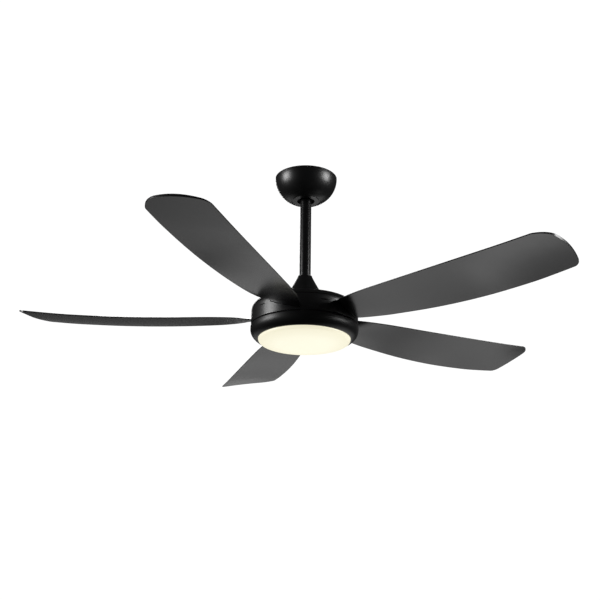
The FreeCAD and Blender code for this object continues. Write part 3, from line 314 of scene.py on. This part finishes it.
def opal():
    """Lit opal plastic: warm white, a touch dimmer near its rim, faintly cloudy."""
    b = Build("opal_plastic")
    split = b.node("ShaderNodeSeparateXYZ")
    b.link(b.place, split.inputs[0])
    rim = b.remap(b.from_axis(split), 0.0, 1.0, LAMP_R * 0.55, LAMP_R)
    cloud = b.remap(b.noise(18.0, 2.0), 0.0, 0.05)
    dimmer = b.math("ADD", b.math("MULTIPLY", rim, 0.6), cloud)
    warm = b.mix(dimmer, (0.80, 0.775, 0.615), (0.70, 0.655, 0.48))
    b.link(warm, b.shader.inputs["Emission Color"])
    b.link(b.mix(cloud, (0.26, 0.26, 0.25), (0.23, 0.23, 0.22)), b.shader.inputs["Base Color"])
    b.link(b.remap(b.noise(300.0), 0.30, 0.42), b.shader.inputs["Roughness"])
    b.link(b.bump(b.noise(1200.0, 1.0), 0.00001), b.shader.inputs["Normal"])
    b.set(Emission_Strength=1.12)
    return b.material


def metal(name, colour, rough, stretch=(1.0, 1.0, 1.0), scale=300.0, height=0.00002, metallic=1.0):
    """Bare or plated metal with drawn or cast grain and cloudy gloss."""
    b = Build(name)
    grain = b.noise(scale, 4.0, 0.6, b.stretched(*stretch))
    cloud = b.noise(25.0, 3.0)
    dark = tuple(0.72 * c for c in colour)
    b.link(b.mix(b.remap(cloud, 0.0, 1.0), dark, colour), b.shader.inputs["Base Color"])
    b.link(b.remap(grain, rough - 0.08, rough + 0.12), b.shader.inputs["Roughness"])
    b.link(b.bump(grain, height), b.shader.inputs["Normal"])
    b.set(Metallic=metallic)
    return b.material


def zinc():
    """Zinc plate with its spangle."""
    b = Build("zinc_steel")
    cells = b.node("ShaderNodeTexVoronoi")
    cells.inputs["Scale"].default_value = 140.0
    b.link(b.place, cells.inputs["Vector"])
    grey = b.node("ShaderNodeSeparateColor")
    b.link(cells.outputs["Color"], grey.inputs[0])
    spangle = grey.outputs[0]
    b.link(b.mix(spangle, (0.50, 0.51, 0.53), (0.66, 0.67, 0.68)), b.shader.inputs["Base Color"])
    b.link(b.remap(spangle, 0.28, 0.46, 0.0, 1.0), b.shader.inputs["Roughness"])
    b.link(b.bump(b.noise(700.0), 0.00001), b.shader.inputs["Normal"])
    b.set(Metallic=1.0)
    return b.material


def plastic(name, colour, rough, grain_scale=800.0, height=0.00002):
    """Moulded plastic with a fine texture and slightly cloudy colour."""
    b = Build(name)
    cloud = b.noise(30.0, 2.0)
    dark = tuple(0.9 * c for c in colour)
    b.link(b.mix(b.remap(cloud, 0.0, 1.0), dark, colour), b.shader.inputs["Base Color"])
    b.link(b.remap(b.noise(300.0), rough - 0.05, rough + 0.08), b.shader.inputs["Roughness"])
    b.link(b.bump(b.noise(grain_scale), height), b.shader.inputs["Normal"])
    return b.material


def banded(name, dark, light, along, pitch, rough, metallic, depth):
    """Stacked or wound stuff: fine bands along Z or outward from the axis. The bands are painted shade in the
    grooves of the bump and a painted highlight on its crests.
    """
    b = Build(name)
    split = b.node("ShaderNodeSeparateXYZ")
    b.link(b.place, split.inputs[0])
    if along == "Z":
        reach = split.outputs["Z"]
    else:
        reach = b.from_axis(split)
    wave = b.math("SINE", b.math("MULTIPLY", reach, 2 * math.pi / pitch))
    height = b.remap(wave, 0.0, 1.0, -1.0, 1.0)
    # Painted shade and highlight: the colour is darker where the bump is low and lighter where it is high,
    # and varies a little at random.
    painted_groove_shade = b.math("MULTIPLY", height, b.remap(b.noise(200.0), 0.75, 1.0))
    b.link(b.mix(painted_groove_shade, dark, light), b.shader.inputs["Base Color"])
    b.link(b.remap(b.noise(150.0), rough - 0.05, rough + 0.1), b.shader.inputs["Roughness"])
    b.link(b.bump(height, depth), b.shader.inputs["Normal"])
    b.set(Metallic=metallic)
    return b.material


def board(name, mask, copper_tone):
    """A circuit board: solder mask with faint tracks under it."""
    b = Build(name)
    tracks = b.node("ShaderNodeTexBrick")
    tracks.inputs["Scale"].default_value = 160.0
    tracks.inputs["Mortar Size"].default_value = 0.06
    tracks.inputs["Color1"].default_value = (0.0, 0.0, 0.0, 1.0)
    tracks.inputs["Color2"].default_value = (0.15, 0.15, 0.15, 1.0)
    tracks.inputs["Mortar"].default_value = (1.0, 1.0, 1.0, 1.0)
    b.link(b.place, tracks.inputs["Vector"])
    b.link(b.mix(tracks.outputs["Fac"], mask, copper_tone), b.shader.inputs["Base Color"])
    b.link(b.remap(b.noise(400.0), 0.25, 0.4), b.shader.inputs["Roughness"])
    b.link(b.bump(tracks.outputs["Fac"], 0.00004), b.shader.inputs["Normal"])
    return b.material


def make_materials():
    """One material for each of the record's slots."""
    return {
        "black_metal": satin_black("black_metal", BLACK_PAINT, 0.33),
        "ring_metal": satin_black("ring_metal", BLACK_PAINT, 0.38, gloss=0.32),
        "rod_paint": satin_black("rod_paint", BLACK_PAINT, 0.26),
        "blade_plastic": moulded_black(),
        "opal_plastic": opal(),
        "zinc_steel": zinc(),
        "screw_steel": metal("screw_steel", (0.60, 0.60, 0.61), 0.32),
        "black_screw": satin_black("black_screw", (0.02, 0.02, 0.02), 0.4, 0.0004),
        "nylon": plastic("nylon", (0.80, 0.79, 0.74), 0.45),
        "black_nylon": plastic("black_nylon", (0.025, 0.025, 0.026), 0.5),
        "bare_steel": metal("bare_steel", (0.55, 0.55, 0.57), 0.28, (1.0, 1.0, 14.0), 120.0),
        "cast_alloy": metal("cast_alloy", (0.62, 0.63, 0.65), 0.5, height=0.00008),
        "lamination": banded(
            "lamination", (0.06, 0.06, 0.07), (0.28, 0.28, 0.30), "Z", 0.0007, 0.4, 0.8, 0.00006),
        "copper": banded("copper", (0.30, 0.09, 0.03), (0.78, 0.36, 0.18), "R", 0.0008, 0.3, 0.9, 0.0002),
        "magnet": metal("magnet", (0.10, 0.10, 0.11), 0.55, scale=500.0, metallic=0.6),
        "circuit_board": board("circuit_board", (0.015, 0.11, 0.045), (0.05, 0.22, 0.09)),
        "led_board": board("led_board", (0.78, 0.78, 0.76), (0.66, 0.66, 0.62)),
        "led": plastic("led", (0.85, 0.70, 0.22), 0.35, 2500.0),
        "driver_case": plastic("driver_case", (0.78, 0.78, 0.77), 0.42),
        "lead_sleeve": plastic("lead_sleeve", (0.03, 0.03, 0.03), 0.6, 1800.0, 0.00006),
        "bobbin": plastic("bobbin", (0.80, 0.77, 0.68), 0.4),
    }


def dress(materials):
    """Gives every node of the frame the finish of its slot."""
    slots = {part["node"]: part["material_slot"] for part in frame["record"]["subparts"]}
    for name, piece in frame["nodes"].items():
        piece.data.materials.clear()
        piece.data.materials.append(materials[slots[name]])


make_camera()
make_studio()
dress(make_materials())
